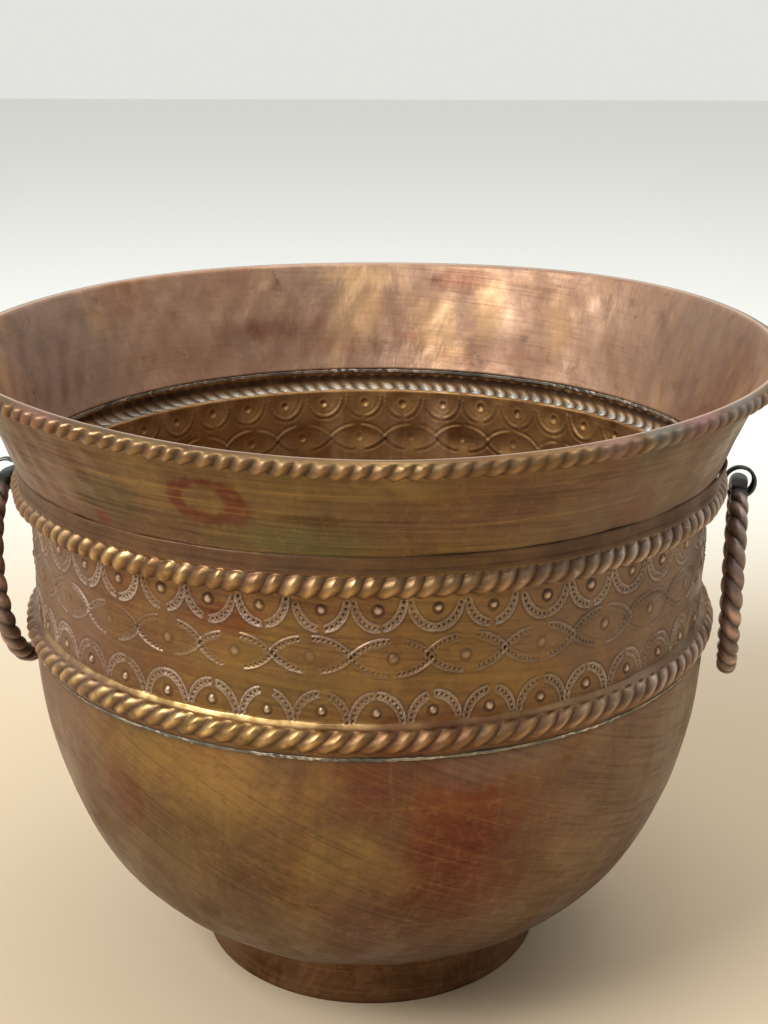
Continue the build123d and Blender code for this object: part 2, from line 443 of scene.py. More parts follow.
def stamp_scallops(canvas, z, hanging, rng):
    """A row of scallops, each from two punch marks and a boss."""
    pitch = TURN * WALL_RADIUS / SCALLOPS
    down = -1 if hanging else 1
    boss_rise = -4.0 if hanging else 4.4
    for k in range(SCALLOPS):
        u = (k + 0.5 + rng.uniform(-0.03, 0.03)) * pitch
        top = z + rng.uniform(-0.3, 0.3)
        radius = 9.2 + rng.uniform(-0.3, 0.3)
        for side in (-1, 1):
            start = down * (90 + side * 90 - side * rng.uniform(-4, 8))
            turn = -down * side * rng.uniform(74, 92)
            force = rng.uniform(0.55, 1.0)
            chalk = rng.uniform(0.45, 1.0)
            aside = rng.uniform(-0.3, 0.3)
            canvas.ladder(u + aside, top, radius, start, turn, force, (1, 0.8), chalk, rng, tall=1.22)
        canvas.swell(u, top + down * 3.2, 5.0, 0.45)
        boss_z = top + boss_rise + rng.uniform(-0.4, 0.4)
        aside = rng.uniform(-0.6, 0.6)
        size = 1.5 + rng.uniform(-0.1, 0.2)
        force = rng.uniform(0.7, 1)
        canvas.boss(u + aside, boss_z, size, force, rng.uniform(0.55, 1))


def stamp_chain(canvas, z, rng):
    """A chain of crossing almonds, struck lightly, with a weak boss in each."""
    pitch = TURN * WALL_RADIUS / ALMONDS
    rise = 6.3
    radius = ((pitch / 2) ** 2 + rise**2) / (2 * rise)
    half = math.degrees(math.asin(pitch / 2 / radius))
    for k in range(ALMONDS):
        u = (k + 0.5) * pitch + rng.uniform(-0.7, 0.7)
        middle = z + rng.uniform(-0.6, 0.6)
        for up in (1, -1):
            centre = middle + up * (rise - radius) + up * rng.uniform(-0.3, 0.5)
            for side in (-1, 1):
                start = up * (90 + side * (half + 3))
                turn = -up * side * (half + 3) * rng.uniform(0.72, 1.0)
                force = rng.uniform(0.55, 1.0)
                chalk = rng.uniform(0.1, 0.5)
                canvas.ladder(u, centre, radius, start, turn, force, (1.5, 0.3), chalk, rng, darkness=0.5)
        canvas.swell(u, middle, 6.0, 0.55)
        aside = rng.uniform(-0.8, 0.8)
        boss_z = middle + rng.uniform(-0.6, 0.6)
        force = rng.uniform(0.3, 0.8)
        canvas.boss(u + aside, boss_z, 1.7, force, rng.uniform(0, 0.35))


# ---- sheet pieces
def band_middle():
    """The band's middle line, from its skirt up to its strip."""
    lower = arc(LOWER_ROPE.centre, LOWER_ROPE.radius, -59, 134, 0.36)
    upper = arc(UPPER_ROPE.centre, UPPER_ROPE.radius, -122, 182, 0.36)
    foot, top = (WALL_MIDDLE, WALL_FOOT), (WALL_MIDDLE, WALL_TOP)
    parts = [
        line(SKIRT_FOOT, lower[0], 0.6),
        lower,
        line(lower[-1], foot, 0.4),
        line(foot, top, 0.32),
        line(top, upper[0], 0.4),
        upper,
        line(upper[-1], STRIP_TOP, 0.6),
    ]
    return ease(join(*parts), 2)


def work_in_rope(bead, side, theta, middle, lift, marks):
    """Rope lobes on a bead of the band, clean-cut outside with their upper sides partly rubbed and partly
    painted highlight; inside, a painted teal-white highlight on the lower part of each lobe and painted shade
    on the upper part.
    """
    angle, away = from_centre(middle, bead.centre)
    near = away < bead.radius + 0.4
    across = np.clip((angle - (bead.low + bead.high) / 2) * 2 / (bead.high - bead.low), -1, 1)
    rows = np.nonzero((near & (angle > bead.low) & (angle < bead.high))[:, 0])[0]
    across = across[rows]
    lobe, edge, strike = rope(theta, across, bead.lobes, bead.lean, bead.seed)
    lift[rows] += bead.depth * edge * strike * (lobe - 1) + bead.proud * edge
    groove = 0.9 * (1 - lobe) ** 2.2 * edge
    raise_to(marks[..., GRIME_AND_SHADE], rows, groove)
    if side > 0:
        # the upper side of each lobe, facing the light: partly rubbed and partly painted highlight
        crest = lobe**2.2 * edge * smooth(across, -0.9, 0.0)
        raise_to(marks[..., WEAR_AND_HIGHLIGHT], rows, crest)
    else:
        # inside: painted teal-white highlight on the lower, upward-facing part of each lobe, and painted
        # shade on the upper part under the overhang
        marks[rows, :, CHALK_AND_HIGHLIGHT] = lobe**1.5 * bump_at(across, -0.55, 0.42)
        marks[rows, :, GRIME_AND_SHADE] = np.maximum(groove, smooth(across, -0.05, 0.35) * 0.95)


def stamp_wall(side, theta, middle, lift, marks):
    """The band's stamped pattern, sharp outside and soft inside."""
    z, r = middle[:, 1], middle[:, 0]
    rows = np.nonzero((z > WALL_FOOT - 0.2) & (z < WALL_TOP + 0.2) & (r < WALL_MIDDLE + 0.6))[0]
    canvas = Canvas(z[rows], theta.shape[1])
    rng = np.random.default_rng(21)
    stamp_scallops(canvas, 215.3, True, rng)
    stamp_chain(canvas, 193.2, rng)
    stamp_scallops(canvas, 167.5, False, rng)
    if side > 0:
        lift[rows] += canvas.lift
        marks[rows, :, CHALK_AND_HIGHLIGHT] = canvas.chalk
        raise_to(marks[..., GRIME_AND_SHADE], rows, canvas.dark)
        marks[rows, :, PALE] = canvas.pale
        return
    soft = canvas.lift
    for _ in range(10):
        soft = 0.25 * (np.roll(soft, 1, 1) + np.roll(soft, -1, 1)) + 0.5 * soft
        soft[1:-1] = 0.25 * (soft[:-2] + soft[2:]) + 0.5 * soft[1:-1]
    # never so deep that it would come through the sheet
    lift[rows] += np.minimum(2.4 * soft, canvas.lift + 0.65 * SHEET)
    marks[rows, :, GRIME_AND_SHADE] = np.clip(-5.0 * soft, 0, 0.9)


def mark_band_face(theta, z, lift, marks):
    """A painted highlight along the ledge at the front left, and the dark grooved strip above the upper rope.
    """
    # painted highlight: a pale line along the ledge at the front left
    ledge = bump_at(z, WALL_FOOT - 0.5, 1.1) * smooth(degrees_from(theta, -118), 75, 20)
    raise_to(marks[..., WEAR_AND_HIGHLIGHT], ..., 0.85 * ledge)
    raise_to(marks[..., GRIME_AND_SHADE], ..., 0.62 * smooth(z, 225.8, 227.0))
    for height, deep in ((228.3, 0.22), (230.4, 0.16)):
        lift -= deep * bump_at(z, height, 0.40)
        raise_to(marks[..., GRIME_AND_SHADE], ..., 0.95 * bump_at(z, height, 0.35))


def band_relief(side, along, theta, middle):
    """Ropes, stamped pattern and unevenness of the band."""
    z = middle[:, 1:2]
    lift = waves(theta, along, (3, 40), (25, 120), 0.16, 3)
    marks = np.zeros(lift.shape + (4,))
    for bead in (LOWER_ROPE, UPPER_ROPE):
        work_in_rope(bead, side, theta, middle, lift, marks)
    stamp_wall(side, theta, middle, lift, marks)
    seam = 1 - smooth(z, SKIRT_FOOT[1], SKIRT_FOOT[1] + 2.0)
    raise_to(marks[..., GRIME_AND_SHADE], ..., 0.9 * seam)
    if side > 0:
        mark_band_face(theta, z, lift, marks)
    # by the right handle the strip stands off the neck
    gape = 1.7 * bump_at((theta + math.pi) % TURN - math.pi, math.radians(-14), math.radians(7)) - 0.45
    lift = lift + gape * smooth(z, 225.5, 232.0) * (z > 224)
    return lift, marks


def neck_middle():
    """The flare, then the roll over the wire."""
    roll = arc(ROLL_CENTRE, ROLL_RADIUS, 152.6, -292, 0.36)
    wall = curve([(147.5, 229.0), (150.9, 237.4), (155.0, 248.5), (160.8, 262.0), tuple(roll[0])], 0.9)
    return ease(join(wall, roll), 1)


def neck_relief(side, along, theta, middle):
    """The hammered flare, and the rope on the under and outer side of its rolled rim."""
    z = middle[:, 1:2]
    flare = smooth(z, 229, 240) * (1 - smooth(z, 266, 272))
    lift = waves(theta, along, (5, 26), (40, 160), 0.16, 5) * flare
    lift += waves(theta, along, (30, 90), (14, 70), 0.085, 6) * flare
    marks = np.zeros(lift.shape + (4,))
    # the sheet turns over in the roll, so its inner side (-1) is the one that shows
    if side < 0:
        angle, away = from_centre(middle, ROLL_CENTRE)
        on_roll = (away < ROLL_RADIUS + 0.4) & (along > 45)
        low, high = -112, 46
        rows = np.nonzero((on_roll & (angle > low) & (angle < high))[:, 0])[0]
        across = (angle[rows] - (low + high) / 2) * 2 / (high - low)
        lobe, edge, strike = rope(theta, across, RIM_LOBES, 0.34, 13)
        worn = 1 - 0.55 * bump_at((theta + math.pi) % TURN - math.pi, math.radians(-50), math.radians(28))
        lift[rows] -= 1.6 * edge * strike * worn * (lobe - 1) + 0.55 * edge
        marks[rows, :, GRIME_AND_SHADE] = (1 - lobe) ** 1.6 * edge * worn
        marks[rows, :, WEAR_AND_HIGHLIGHT] = 0.7 * lobe**2 * edge
        # a pale line along the top of the roll: partly rubbed bare and partly painted highlight
        marks[..., PALE] = 0.9 * bump_at(angle, 104, 15) * on_roll
    return lift, marks


def bowl_middle():
    """The flat floor from the axis, then the side."""
    floor = line((0.0, 20.8), (66.0, 20.8), 2.2)
    side = [(66.0, 20.8), (97.1, 34.0), (117.5, 53.8), (133.0, 81.5), (142.8, 116.2), (146.2, 160.4)]
    return join(floor, curve(side, 1.3, (1, 0.22), (0, 1)))


def bowl_relief(side, along, theta, middle):
    """Long soft dents, and the dark seam under the band's skirt."""
    fade = smooth(middle[:, 0:1], 70, 100)
    lift = waves(theta, along, (3, 18), (50, 220), 0.22, 8) * fade
    lift += waves(theta, along, (20, 70), (25, 120), 0.035, 9) * fade
    marks = np.zeros(lift.shape + (4,))
    if side > 0:
        marks[..., GRIME_AND_SHADE] = 0.8 * smooth(middle[:, 1:2], 151.5, 154.6)
    return lift, marks


def foot_middle():
    """From the ground up to the bowl."""
    return curve([(76.8, 0.5), (74.9, 13.4), (74.1, 22.0)], 0.7)


def foot_relief(side, along, theta, middle):
    """A little unevenness, none of it where the ring rests or meets the bowl."""
    z = middle[:, 1:2]
    lift = waves(theta, along, (2, 14), (20, 90), 0.08, 15)
    lift = lift * smooth(z, 0, 4) * (1 - smooth(z, 18, 21))
    marks = np.zeros(lift.shape + (4,))
    marks[..., GRIME_AND_SHADE] = smooth(z, 19.4, 21.2)
    return lift, marks


def solder_fillet(name, section, columns, lumps, seed):
    """A lumpy three-cornered fillet of solder turned about Z."""
    step = 0.35
    section = np.asarray(section, float)
    loop = np.concatenate([line(section[i], section[(i + 1) % 3], step)[:-1] for i in range(3)])
    centre = loop.mean(0)
    theta = all_round(columns)
    around = np.arange(len(loop))[:, None] * step
    size = np.clip(1 + waves(theta, around, (30, 220), (4, 20), lumps, seed), 0.6, 1.35)
    net = centre + (loop[:, None, :] - centre) * size[..., None]
    points = turned_about_z(net[..., 0], net[..., 1], theta)
    return mesh_object(name, points, faces_between(columns, len(loop), True))


def hidden_wire():
    """The wire in the rolled rim, which follows the bent rim."""
    columns, sides = 720, 16
    theta = all_round(columns)
    around = all_round(sides).T
    radius = ROLL_CENTRE[0] + WIRE_RADIUS * np.cos(around) + 0 * theta
    height = ROLL_CENTRE[1] + WIRE_RADIUS * np.sin(around) + 0 * theta
    height = height + rim_bend(theta, ROLL_CENTRE[1] + 0 * height)
    return mesh_object("RimWire", turned_about_z(radius, height, theta), faces_between(columns, sides, True))


# ---- handles
def sweep(name, path, wide, tall, section, marks=None):
    """Sections set along a path and capped, each with its directions wide and tall."""
    net = path[:, None, :] + section[..., 0:1] * wide[:, None, :] + section[..., 1:2] * tall[:, None, :]
    sides, count = section.shape[1], len(path)
    caps = cap_faces(sides, count, sides * count)
    points = np.concatenate([net.reshape(-1, 3), [net[0].mean(0), net[-1].mean(0)]])
    if marks is not None:
        marks = np.concatenate([marks.reshape(-1, 4), np.zeros((2, 4))])
    return mesh_object(name, points, faces_between(sides, count, False), caps, marks)


def rounded_box(around, half_wide, half_tall, power):
    """How far a rounded box reaches from its middle, at each heading."""
    wide = np.abs(np.cos(around) / half_wide) ** power
    return (wide + np.abs(np.sin(around) / half_tall) ** power) ** (-1 / power)


def ring_frame(side, turn, lean):
    """The ring's own directions, across, up and square to it. It is turned about Z and leans, in degrees."""
    lean, turn = math.radians(side * lean), math.radians(turn)
    about_y = [[math.cos(lean), 0, math.sin(lean)], [0, 1, 0], [-math.sin(lean), 0, math.cos(lean)]]
    about_z = [[math.cos(turn), -math.sin(turn), 0], [math.sin(turn), math.cos(turn), 0], [0, 0, 1]]
    tilt = np.array(about_z) @ np.array(about_y)
    return (tilt @ np.array(way, float) for way in ((0, side, 0), (0, 0, 1), (side, 0, 0)))


def ring_handle(name, side, turn, lean):
    """A twisted bar bent into a ring, its ends flattened and lapped inside the eye."""
    across, up, square = ring_frame(side, turn, lean)
    centre = np.array([side * EYE_REACH, 0, EYE_HEIGHT]) - up * (RING_DROP + RING_RADIUS)
    steps, sides = 720, 56
    overlap = 13.0
    degrees = np.linspace(-overlap, 360 + overlap, steps)
    angle = np.radians(degrees)
    # how round the bar is, from the flattened ends to the twisted leg
    top = np.minimum(degrees, 360 - degrees)
    twisted = smooth(top, 12, 26)[:, None]
    lapped = 1 - smooth(top, 9, 15)
    outward = np.sin(angle)[:, None] * across + np.cos(angle)[:, None] * up
    # the first end lies on one side of the lap and the last end on the other
    shift = np.where(degrees < 180, 1.35, -1.55) * lapped
    path = centre + (RING_RADIUS + shift[:, None]) * outward
    around = all_round(sides)
    length = angle[:, None] * RING_RADIUS
    strands, lobe_pitch = 2, 8.4
    twist = TURN * length / (lobe_pitch * strands)
    lobes = np.abs(np.cos(strands / 2 * (around - twist)))
    round_bar = BAR_RADIUS * (0.70 + 0.31 * lobes**0.65)
    flat = rounded_box(around, 3.4, 3.0 - 1.55 * lapped[:, None], 2.7)
    size = twisted * round_bar + (1 - twisted) * flat
    ends = np.sqrt(np.clip(1 - (1 - np.clip((overlap + top) / 2.2, 0, 1)) ** 2, 0.02, 1))
    size = size * ends[:, None]
    section = np.stack([size * np.cos(around), size * np.sin(around)], -1)
    marks = np.zeros(size.shape + (4,))
    marks[..., GRIME_AND_SHADE] = (1 - lobes**0.5) * twisted
    marks[..., WEAR_AND_HIGHLIGHT] = lobes**2 * twisted
    marks[..., PALE] = 1 - smooth(top, 13, 27)[:, None]
    wide = np.repeat(square[None, :], steps, 0)
    return sweep(name, path, wide, outward, section, marks)


def strip_eye(name, side):
    """A strip bent into a loop, both tails through the wall and spread flat inside it."""
    loop_radius, thick, tail, clear = 6.6, 1.5, 7.0, 0.05
    offset = thick / 2 + clear
    wall = WALL_MIDDLE - SHEET / 2 - clear - thick / 2
    opening = math.asin(offset / loop_radius)
    angle = np.linspace(math.pi - opening, -math.pi + opening, 120)
    loop = np.stack([EYE_REACH + loop_radius * np.cos(angle), EYE_HEIGHT + loop_radius * np.sin(angle)], 1)
    upper, lower = (wall, EYE_HEIGHT + offset), (wall, EYE_HEIGHT - offset)
    into = (line((wall, upper[1] + tail), upper, 0.7), line(upper, loop[0], 0.7))
    out = (line(loop[-1], lower, 0.7), line(lower, (wall, lower[1] - tail), 0.7))
    middle = ease(join(*into, loop, *out), 2)
    normal = directions(middle)[1]
    path = np.stack([side * middle[:, 0], 0 * middle[:, 0], middle[:, 1]], 1)
    wide = np.repeat(np.array([[0.0, 1.0, 0.0]]), len(path), 0)
    tall = np.stack([side * normal[:, 0], 0 * normal[:, 0], normal[:, 1]], 1)
    around = all_round(28)
    # hammered strip: a little thicker and wider at the bottom of the loop
    share = np.linspace(0, 1, len(path))[:, None]
    low_side = bump_at(share, 0.58, 0.12)
    grown = 0.45 * low_side
    path = path + tall * grown
    size = rounded_box(around, 1.75 + 1.1 * low_side + 0.1 * np.sin(31 * share), 0.72 + grown, 3.2)
    section = np.stack([size * np.cos(around), size * np.sin(around)], -1)
    return sweep(name, path, wide, tall, section)


# ---- materials
class Nodes:
    """A tree built node by node. Any input may be a number, a colour or another node's output."""

    def __init__(self, owner):
        owner.use_nodes = True
        self.tree = owner.node_tree

    def put(self, socket, value):
        if isinstance(value, bpy.types.NodeSocket):
            self.tree.links.new(value, socket)
        elif isinstance(value, tuple) and len(value) == 3 and socket.type == "RGBA":
            socket.default_value = (*value, 1)
        else:
            socket.default_value = value

    def node(self, kind, values=(), **settings):
        made = self.tree.nodes.new(kind)
        for key, value in settings.items():
            setattr(made, key, value)
        for socket, value in zip(made.inputs, values):
            if value is not None:
                self.put(socket, value)
        return made

    def math(self, operation, a, b=0.0):
        return self.node("ShaderNodeMath", (a, b), operation=operation).outputs[0]


class Shader(Nodes):
    """A material, with its place in space and the marks of its piece."""

    def __init__(self, name):
        self.material = bpy.data.materials.new(name)
        super().__init__(self.material)
        self.surface = self.tree.nodes["Principled BSDF"].inputs
        self.position = self.tree.nodes.new("ShaderNodeTexCoord").outputs["Object"]
        marks = self.node("ShaderNodeVertexColor", layer_name="marks").outputs
        # chalk also holds painted highlights, groove holds grime and painted shade, and worn holds wear and
        # painted highlights
        self.chalk, self.groove, self.worn = self.node("ShaderNodeSeparateColor", (marks["Color"],)).outputs
        self.pale = marks["Alpha"]
        self.inner = self.node("ShaderNodeAttribute", attribute_name="inner").outputs["Fac"]

    def stretch(self, scale, turn=(0, 0, 0)):
        """Object space turned, then squeezed, so that noise in it runs in streaks."""
        turned = self.node("ShaderNodeMapping", (self.position,))
        turned.inputs["Rotation"].default_value = tuple(math.radians(t) for t in turn)
        squeezed = self.node("ShaderNodeMapping", (turned.outputs[0],))
        squeezed.inputs["Scale"].default_value = scale
        return squeezed.outputs[0]

    def noise(self, scale, detail=3.0, rough=0.55, warp=0.0, where=None):
        made = self.node("ShaderNodeTexNoise", (where or self.position, None, scale, detail, rough))
        made.inputs["Distortion"].default_value = warp
        return made.outputs["Fac"]

    def ramp(self, value, low, high, out_low=0.0, out_high=1.0):
        """The value taken smoothly from the first range to the second."""
        made = self.node("ShaderNodeMapRange", (value, low, high, out_low, out_high))
        made.interpolation_type = "SMOOTHSTEP"
        return made.outputs[0]

    def times(self, *values):
        out = values[0]
        for value in values[1:]:
            out = self.math("MULTIPLY", out, value)
        return out

    def mix(self, share, a, b):
        """Colour a where share is 0 and colour b where it is 1."""
        made = self.node("ShaderNodeMix", (share,), data_type="RGBA")
        self.put(made.inputs[6], a)
        self.put(made.inputs[7], b)
        return made.outputs[2]

    def over(self, colour, tone, value, low, high, *strength):
        """The tone laid on the colour where the value runs from low to high."""
        return self.mix(self.times(self.ramp(value, low, high), *strength), colour, tone)

    def near(self, place, reach, warp, grain, shape=ROUND, ring=0, where=None):
        """1 at a place or on a ring about it, 0 beyond its reach, and ragged between."""
        gap = self.node("ShaderNodeVectorMath", (self.position, place), operation="SUBTRACT").outputs[0]
        gap = self.node("ShaderNodeVectorMath", (gap, shape), operation="MULTIPLY").outputs[0]
        away = self.node("ShaderNodeVectorMath", (gap,), operation="LENGTH").outputs["Value"]
        if ring:
            away = self.math("ABSOLUTE", self.math("SUBTRACT", away, ring))
        ragged = self.times(self.math("SUBTRACT", self.noise(grain, 5, 0.65, 0.4, where), 0.5), warp)
        return self.ramp(self.math("ADD", self.math("DIVIDE", away, reach), ragged), 1.0, 0.25)

    def bump(self, height, distance, strength=1.0, before=None):
        made = self.tree.nodes.new("ShaderNodeBump")
        made.inputs["Strength"].default_value = strength
        made.inputs["Distance"].default_value = distance
        self.put(made.inputs["Height"], height)
        if before is not None:
            self.put(made.inputs["Normal"], before)
        return made.outputs[0]

    def finish(self, colour, metallic, roughness, normal=None):
        self.put(self.surface["Base Color"], colour)
        self.put(self.surface["Metallic"], metallic)
        self.put(self.surface["Roughness"], roughness)
        if normal is not None:
            self.put(self.surface["Normal"], normal)
        return self.material


def hand_rubbed(s, lean):
    """Scratches and brushing: level, leaning and upright."""
    level = s.noise(1.0, 5, 0.62, 0.0, s.stretch((8, 8, 520)))
    slant = s.noise(1.0, 5, 0.65, 0.0, s.stretch((11, 40, 760), (0, lean, 0)))
    upright = s.noise(1.0, 4, 0.62, 0.0, s.stretch((210, 210, 9)))
    return level, slant, upright


def patchy_ground(s, tones, cloud, patch, red, gold):
    """Two tones in clouds, with copper-red and golden patches."""
    colour = s.mix(s.ramp(cloud, 0.36, 0.64), tones[0], tones[1])
    rubbed = s.noise(patch * 0.8, 6, 0.7, 1.2, s.stretch((1, 1, 1.8), (20, 30, 0)))
    colour = s.over(colour, COPPER, rubbed, 0.52, 0.70, red)
    golden = s.noise(patch * 0.7, 6, 0.68, 1.2, s.stretch((1.3, 1, 2.2), (0, 75, 40)))
    return s.over(colour, GOLD, golden, 0.52, 0.72, gold)


def with_tints(s, colour, tints, warp, grain, where=None, only=None):
    """The colour with each tint on it, stains and patches of painted light alike, ragged at its edge by warp
    and grain.
    """
    for tint in tints:
        grown = s.near(tint.place, tint.reach, warp, grain, tint.shape, tint.ring, where)
        share = s.times(grown, tint.strength) if only is None else s.times(grown, tint.strength, only)
        colour = s.mix(share, colour, tint.tone)
    return colour


def brushed(s, colour, scratches, cloud, fine, dark, strokes):
    """Scratches, dark where dirty and golden where fresh, and fine specks."""
    level, slant, upright = scratches
    colour = s.over(colour, UMBER, slant, 0.47, 0.72, 0.34)
    colour = s.over(colour, GOLD, slant, 0.47, 0.30, 0.16)
    colour = s.mix(s.times(s.ramp(level, 0.50, 0.74), s.ramp(cloud, 0.35, 0.6), dark), colour, UMBER)
    colour = s.over(colour, GOLD, level, 0.46, 0.30, dark, 0.35)
    colour = s.over(colour, ROSE, upright, 0.54, 0.76, 0.10 * strokes)
    colour = s.over(colour, UMBER, upright, 0.46, 0.28, 0.15 * strokes)
    colour = s.over(colour, UMBER, s.noise(520.0, 3), 0.62, 0.72, 0.35)
    return s.over(colour, GOLD, fine, 0.50, 0.72, 0.16)


def inner_tone(s, upright, cloud, inside):
    """The inside of the pot: clouds, warm patches and upright streaks of painted golden highlight."""
    light, deep, warm = inside
    tone = s.mix(s.ramp(cloud, 0.36, 0.64), light, deep)
    tone = s.over(tone, warm, s.noise(12.0, 5, 0.66, 0.8), 0.52, 0.70, 0.65)
    # painted highlight: golden upright gleams
    streak = s.noise(1.0, 4, 0.6, 0.3, s.stretch((55, 55, 7)))
    tone = s.over(tone, GOLDEN_HIGHLIGHT, streak, 0.50, 0.72, 0.55)
    tone = s.over(tone, ROSE, upright, 0.52, 0.74, 0.35)
    return s.over(tone, UMBER, s.noise(75.0, 5, 0.7), 0.57, 0.72, 0.45)


def polished_crests(s, colour, crest, right):
    """The crests that hands rub: copper, with a painted golden highlight at the front left and a painted pale
    grey highlight at the right.
    """
    # painted highlight: gold where the window light falls at the front left
    front_left = s.near((-0.075, -0.13, 0.168), 0.115, 0.7, 14.0)
    gold = s.mix(s.ramp(s.noise(120.0, 3), 0.4, 0.6), GOLD, SAFFRON)
    return s.mix(crest, colour, s.mix(front_left, s.mix(right, RUBBED, GREY_HIGHLIGHT), gold))


def sheet_roughness(s, slant, marked, crest):
    """Satin sheet, rougher along its scratches, where it carries grime, chalk and painted light, and inside
    the pot.
    """
    rough = s.ramp(s.noise(35.0, 4, 0.6), 0.35, 0.65, 0.35, 0.56)
    rough = s.math("ADD", rough, s.times(s.ramp(slant, 0.45, 0.75), 0.12))
    rough = s.math("ADD", rough, s.times(marked, 0.25))
    rough = s.math("ADD", rough, s.times(s.inner, 0.14))
    return s.math("SUBTRACT", rough, s.times(crest, 0.03))


def sheet_bump(s, level, slant, fine):
    """Scratches, a gentle waviness, and hammer marks inside the pot."""
    height = s.math("ADD", s.times(level, 0.5), s.math("ADD", s.times(slant, 0.5), s.times(fine, 0.6)))
    normal = s.bump(height, 0.00010)
    normal = s.bump(s.noise(48.0, 3, 0.5), 0.0006, 0.6, normal)
    hammered = s.noise(1.0, 3, 0.55, 0.3, s.stretch((95, 95, 32)))
    return s.bump(s.times(hammered, s.inner), 0.0009, 0.7, normal)


def aged_brass(
    name, tones, inside, patch, red, gold, dark, lean,
    tints=(), rings=(), inside_tints=(), rim_stains=(), strokes=1.0,
):  # fmt: skip
    """
    Old brass and copper sheet. patch scales its patches and lean slants its brushing. red, gold, dark and
    strokes are the strength of its red and golden patches and of its level and upright scratches.
    """
    s = Shader(name)
    scratches = level, slant, upright = hand_rubbed(s, lean)
    fine = s.noise(240.0, 4, 0.65, 0.2)
    cloud = s.noise(patch, 6, 0.66, 0.9)
    colour = patchy_ground(s, tones, cloud, patch, red, gold)
    streaks = s.stretch((30, 30, 9), (0, lean, 0))
    colour = with_tints(s, colour, rings, 3.4, 3.2, streaks)
    colour = with_tints(s, colour, tints, 1.9, 1.6, streaks)
    colour = brushed(s, colour, scratches, cloud, fine, dark, strokes)
    # painted reflection: mauve on the right side and dusky pink-grey on the left, where the sheet turns away
    # and mirrors the pale room; the right mask also places painted highlights below
    right = s.near((0.125, -0.09, 0.215), 0.105, 1.1, 16.0)
    left = s.near((-0.125, -0.08, 0.190), 0.075, 1.1, 16.0)
    colour = s.mix(s.times(right, 0.60), colour, MAUVE)
    colour = s.mix(s.times(left, 0.50), colour, DUSKY)
    colour = s.mix(s.times(s.inner, 0.92), colour, inner_tone(s, upright, cloud, inside))
    colour = with_tints(s, colour, inside_tints, 1.6, 1.6, s.stretch((45, 45, 9)), s.inner)
    crest = s.times(s.worn, s.ramp(s.noise(60.0, 4), 0.36, 0.60, 0.25, 1.0))
    colour = polished_crests(s, colour, crest, right)
    colour = with_tints(s, colour, rim_stains, 2.2, 150.0)
    # dark marks: grime, with the painted shade beside the stamp rails and under the inner rope's overhang
    grime_and_shade = s.times(s.groove, s.ramp(s.noise(90.0, 3), 0.3, 0.6, 0.65, 1.0))
    colour = s.mix(grime_and_shade, colour, s.mix(s.ramp(s.noise(34.0, 3), 0.60, 0.74), UMBER, VERDIGRIS))
    colour = s.mix(s.times(s.pale, 0.9), colour, PALE_COPPER)
    # painted highlights: whitish on rubbed places at the right side, and teal-white inside the rope beads,
    # which the chalk mark holds beside real chalk
    dust_and_highlight = s.times(s.chalk, s.ramp(s.noise(700.0, 2), 0.35, 0.6, 0.5, 1.0))
    right_highlight = s.times(right, s.ramp(s.noise(260.0, 4, 0.7), 0.54, 0.70), s.worn, 0.8)
    chalk = s.math("MAXIMUM", dust_and_highlight, right_highlight)
    # chalk here is chalk with painted highlights: chalk-white outside and teal-white inside
    colour = s.mix(chalk, colour, s.mix(s.inner, CHALK, INNER_HIGHLIGHT))
    rough = sheet_roughness(s, slant, s.math("ADD", grime_and_shade, chalk), crest)
    metal = s.math("SUBTRACT", 1.0, s.math("MAXIMUM", s.times(chalk, 0.9), s.times(grime_and_shade, 0.45)))
    return s.finish(colour, metal, rough, sheet_bump(s, level, slant, fine))


def bowl_metal():
    """Olive and brown, with a wide red stain on its front, a painted golden highlight at its upper left,
    painted reflection at its sides and painted shade towards the foot.
    """
    tints = tints_of(
        ((0.042, -0.139, 0.130), 0.044, COPPER, 0.85, TALL),
        ((0.050, -0.128, 0.100), 0.036, RED_STAIN, 0.6, TALL),
        ((0.010, -0.145, 0.142), 0.026, RED_STAIN, 0.5, TALL),
        # painted highlight: golden where the light falls on the upper left of the front
        ((-0.057, -0.134, 0.142), 0.050, GOLD, 0.45, LEVEL),
        ((0.054, -0.136, 0.150), 0.026, MAUVE, 0.6, LEVEL),
        ((-0.090, -0.112, 0.121), 0.016, COPPER, 0.7, TALL),
        # painted reflection: mauve at the right side and dusky at the left, where the bowl turns away
        ((0.115, -0.085, 0.120), 0.080, MAUVE, 0.55),
        ((-0.120, -0.070, 0.125), 0.055, DUSKY, 0.35),
        # painted shade: darker towards the foot
        ((0.0, 0.0, 0.020), 0.185, BOTTOM_SHADE, 0.80),
    )
    look = dict(patch=10.0, red=0.45, gold=0.25, dark=0.3, lean=-28)
    return aged_brass("BowlMetal", (OLIVE, BROWN), AMBERY, tints=tints, **look)


def foot_metal():
    """Russet, darker towards red-black."""
    look = dict(patch=16.0, red=0.3, gold=0.1, dark=0.5, lean=-4)
    return aged_brass("FootMetal", (RUSSET, DARK_RUSSET), AMBERY, **look)


def band_metal():
    """Tan and russet, with a few copper-red places."""
    tints = tints_of(
        ((-0.048, -0.136, 0.205), 0.016, COPPER, 0.7, LEVEL),
        ((-0.103, -0.102, 0.180), 0.022, COPPER, 0.6),
        ((-0.02, -0.143, 0.178), 0.024, OLIVE, 0.8, LEVEL),
        ((0.02, -0.143, 0.163), 0.030, COPPER, 0.6, LEVEL),
    )
    look = dict(patch=16.0, red=0.4, gold=0.3, dark=0.45, lean=-6, strokes=0.0)
    return aged_brass("BandMetal", (TAN, RUSSET), AMBERY, tints=tints, **look)


